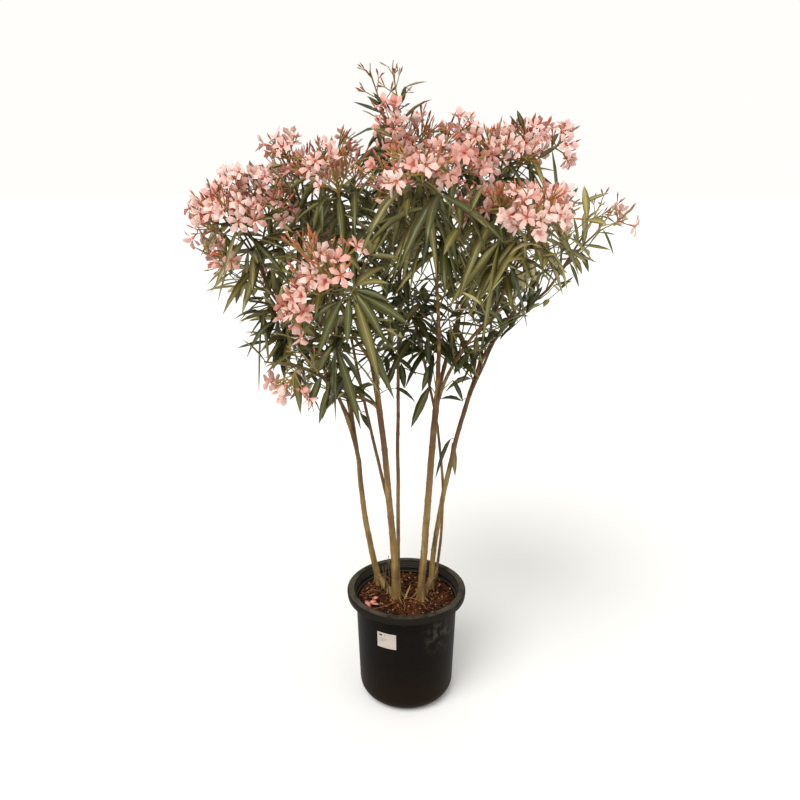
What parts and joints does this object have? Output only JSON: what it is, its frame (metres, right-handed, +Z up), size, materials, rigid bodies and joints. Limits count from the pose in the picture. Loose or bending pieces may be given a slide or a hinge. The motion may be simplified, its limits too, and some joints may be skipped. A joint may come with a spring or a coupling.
{
  "type": "potted oleander",
  "caption": "Tall flowering oleander shrub of several bare canes under a full crown of lance-shaped leaves and pink flowers, growing in a round black nursery pot.",
  "frame": {"origin": "centre of the pot's flat underside", "axes": "+Z up, -Y the front, where the pot's label is, +X to the right seen from the front"},
  "size_m": [1.1049, 0.9157, 1.7747],
  "materials": {
    "pot": "matte black with dusty scuffs",
    "soil": "loose dark bark mix",
    "label": "matte off-white film label with faint lines",
    "bark": "smooth tan bark with fine bumps",
    "foliage": "leathery olive-green leaves, salmon-pink petals"
  },
  "bodies": {
    "root": {"pot": "pot", "soil": "soil", "pot_label": "label", "cane_left": "bark", "cane_centre": "bark", "cane_upright": "bark", "cane_main": "bark", "cane_right": "bark", "cane_slender": "bark", "bough_left_end": "bark", "bough_left_top": "bark", "bough_left_back": "bark", "bough_left_low": "bark", "bough_left_inner": "bark", "bough_front_left": "bark", "bough_front_low": "bark", "bough_top": "bark", "bough_back": "bark", "bough_front": "bark", "bough_right_top": "bark", "bough_front_right": "bark", "bough_right_end": "bark", "bough_right_low": "bark", "bough_right_back": "bark", "bough_core": "bark", "foliage_left_end": "foliage", "foliage_left_top": "foliage", "foliage_left_back": "foliage", "foliage_left_low": "foliage", "foliage_left_inner": "foliage", "foliage_front_left": "foliage", "foliage_front_low": "foliage", "foliage_top": "foliage", "foliage_back": "foliage", "foliage_front": "foliage", "foliage_right_top": "foliage", "foliage_front_right": "foliage", "foliage_right_end": "foliage", "foliage_right_low": "foliage", "foliage_right_back": "foliage", "foliage_core": "foliage"}
  },
  "joints": []
}
